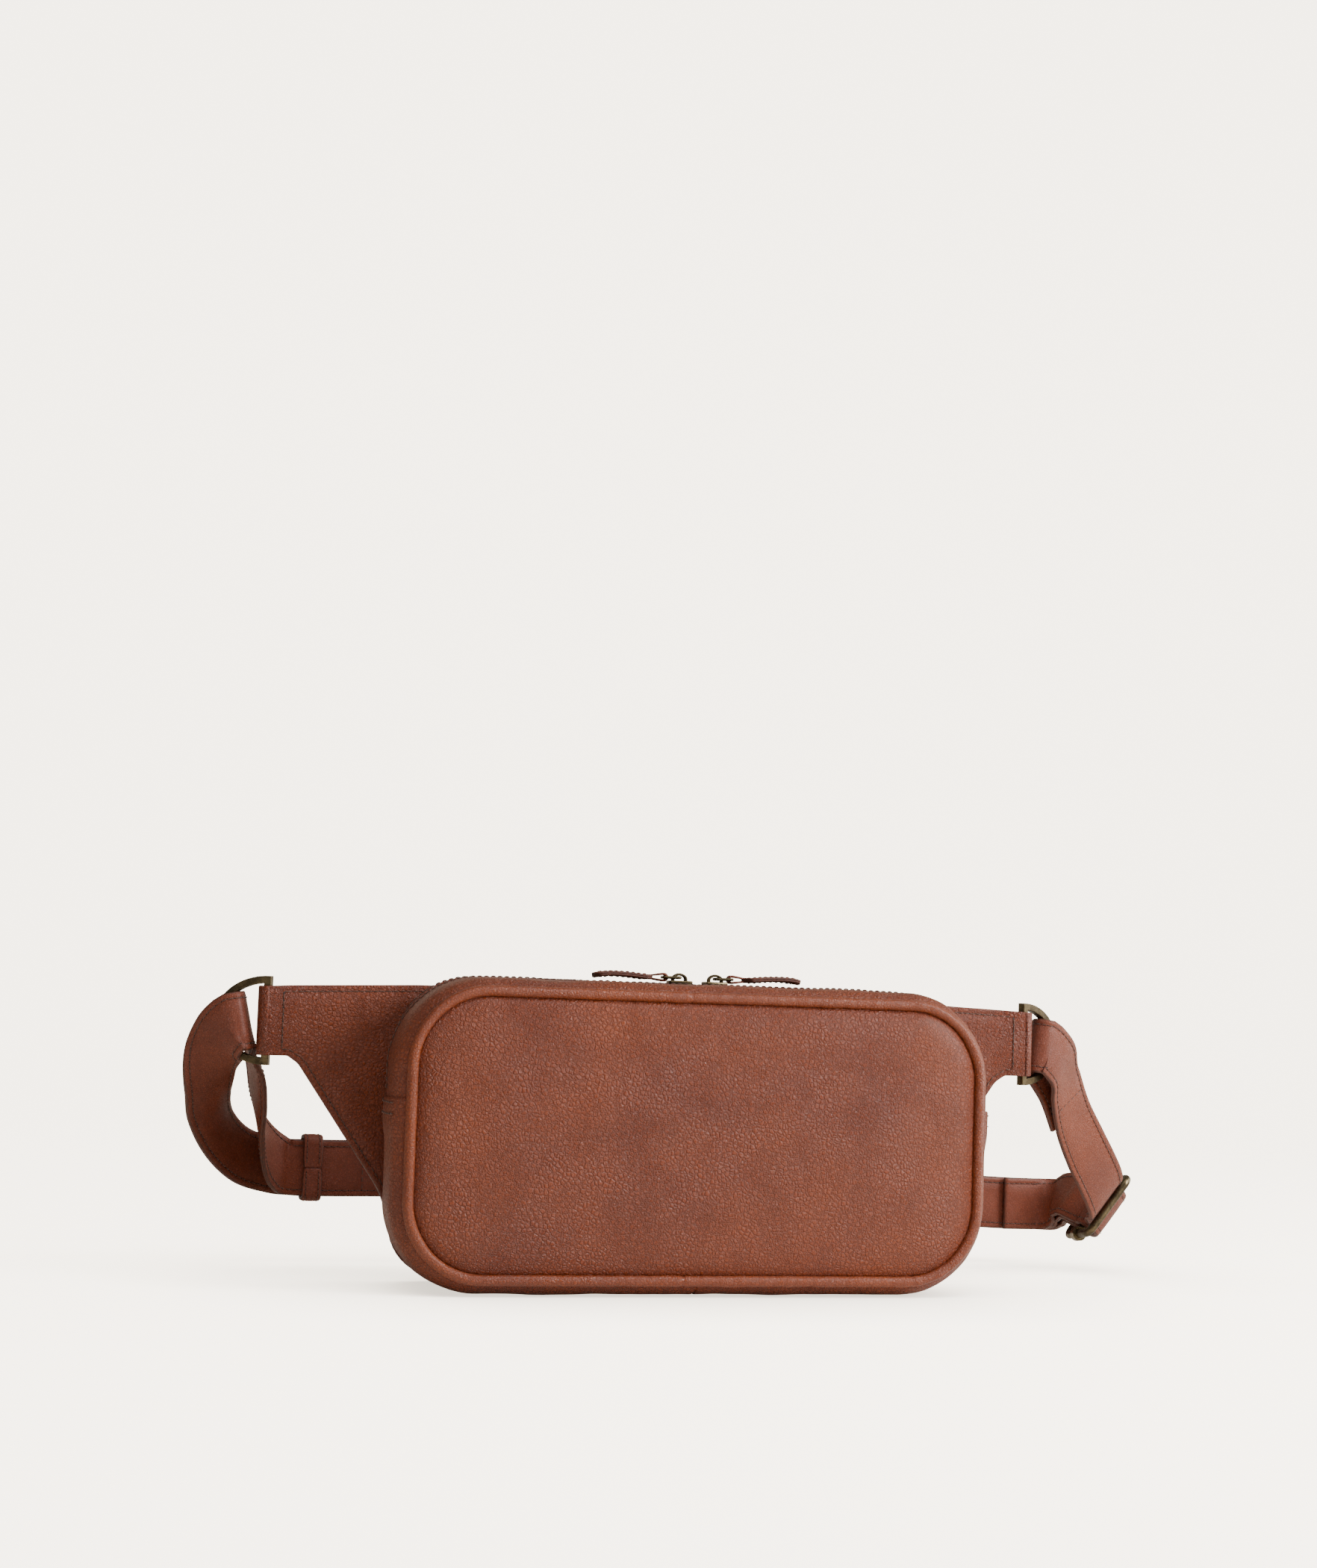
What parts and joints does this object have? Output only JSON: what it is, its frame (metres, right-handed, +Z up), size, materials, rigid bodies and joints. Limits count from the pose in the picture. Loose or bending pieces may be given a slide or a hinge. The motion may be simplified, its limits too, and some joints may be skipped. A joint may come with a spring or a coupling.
{
  "type": "waist pack",
  "caption": "Slim padded leather waist pack with a two-way zipped pouch, winged back panel, metal rings and a doubled leather waist strap.",
  "frame": {"origin": "middle of the flat underside of the pouch, half-way between its ends and under the zip's centre line", "axes": "+X along the pouch to the end with the adjuster, +Y from the front panel to the back panel and the wearer, +Z up"},
  "size_m": [0.4489, 0.163, 0.1289],
  "materials": {
    "body_leather": "pebbled, satin",
    "piping_leather": "pebbled, satin",
    "strap_leather": "smooth, satin",
    "antique_brass": "antiqued, brushed",
    "zipper_brass": "antiqued",
    "zipper_tape": "woven, matte",
    "lining_cloth": "twill, matte",
    "foam": "matte",
    "cord": "matte"
  },
  "bodies": {
    "pouch_and_strap": {"back_panel_foam": "foam", "back_panel_front_ply": "body_leather", "back_panel_rear_ply": "body_leather", "bottom_gusset": "body_leather", "front_padding": "foam", "front_panel": "body_leather", "front_piping": "piping_leather", "front_piping_core": "cord", "lining_back": "lining_cloth", "lining_front": "lining_cloth", "lining_gusset_front": "lining_cloth", "lining_gusset_lower": "lining_cloth", "lining_gusset_rear": "lining_cloth", "slip_pocket": "lining_cloth", "strap_adjuster_pass": "strap_leather", "strap_bar_fold": "strap_leather", "strap_inner_run": "strap_leather", "strap_inner_turn": "strap_leather", "strap_loop_front": "strap_leather", "strap_loop_rear": "strap_leather", "strap_outer_run": "strap_leather", "strap_outer_turn": "strap_leather", "strap_right_leg": "strap_leather", "strap_sewn_end": "strap_leather", "strap_tail": "strap_leather", "top_gusset_front": "body_leather", "top_gusset_rear": "body_leather", "wing_tab_left": "body_leather", "wing_tab_right": "body_leather", "zipper_stop_left": "antique_brass", "zipper_stop_right": "antique_brass", "zipper_tape_front": "zipper_tape", "zipper_tape_rear": "zipper_tape", "zipper_teeth_front": "zipper_brass", "zipper_teeth_rear": "zipper_brass"},
    "slider_left": {"zipper_slider_left": "antique_brass"},
    "link_left": {"puller_link_left": "antique_brass"},
    "pull_left": {"leather_pull_left": "strap_leather"},
    "ring_left": {"d_ring_left": "antique_brass"},
    "slider_right": {"zipper_slider_right": "antique_brass"},
    "link_right": {"puller_link_right": "antique_brass"},
    "pull_right": {"leather_pull_right": "strap_leather"},
    "ring_right": {"d_ring_right": "antique_brass"},
    "keeper": {"strap_keeper": "strap_leather"},
    "adjuster": {"adjuster_frame": "antique_brass", "adjuster_bar": "antique_brass"}
  },
  "joints": [
    {"name": "slider_left_slide", "type": "slide", "parent": "pouch_and_strap", "child": "slider_left", "axis": [-1, 0, 0], "range_m": [0, 0.072]},
    {"name": "link_left_swing", "type": "hinge", "parent": "slider_left", "child": "link_left", "pos_m": [-0.003, 0, 0.127], "axis": [0, 1, 0], "range_deg": [0, 60]},
    {"name": "pull_left_swing", "type": "hinge", "parent": "link_left", "child": "pull_left", "pos_m": [-0.01, 0, 0.127], "axis": [0, 1, 0], "range_deg": [0, 25]},
    {"name": "ring_left_turn", "type": "hinge", "parent": "pouch_and_strap", "child": "ring_left", "pos_m": [-0.1675, 0.0318, 0.104], "axis": [0, 0, 1], "range_deg": [-1, 1]},
    {"name": "slider_right_slide", "type": "slide", "parent": "pouch_and_strap", "child": "slider_right", "axis": [1, 0, 0], "range_m": [0, 0.072]},
    {"name": "link_right_swing", "type": "hinge", "parent": "slider_right", "child": "link_right", "pos_m": [0.0126, 0, 0.127], "axis": [0, -1, 0], "range_deg": [0, 60]},
    {"name": "pull_right_swing", "type": "hinge", "parent": "link_right", "child": "pull_right", "pos_m": [0.0196, 0, 0.127], "axis": [0, -1, 0], "range_deg": [0, 25]},
    {"name": "ring_right_turn", "type": "hinge", "parent": "pouch_and_strap", "child": "ring_right", "pos_m": [0.1675, 0.0318, 0.104], "axis": [0, 0, 1], "range_deg": [-1, 1]},
    {"name": "keeper_slide", "type": "slide", "parent": "pouch_and_strap", "child": "keeper", "axis": [1, 0, 0], "range_m": [0, 0.06]},
    {"name": "adjuster_tilt", "type": "hinge", "parent": "pouch_and_strap", "child": "adjuster", "pos_m": [0.232, 0.084, 0.0295], "axis": [0.6247, 0.019, 0.7807], "range_deg": [-2, 2]}
  ]
}
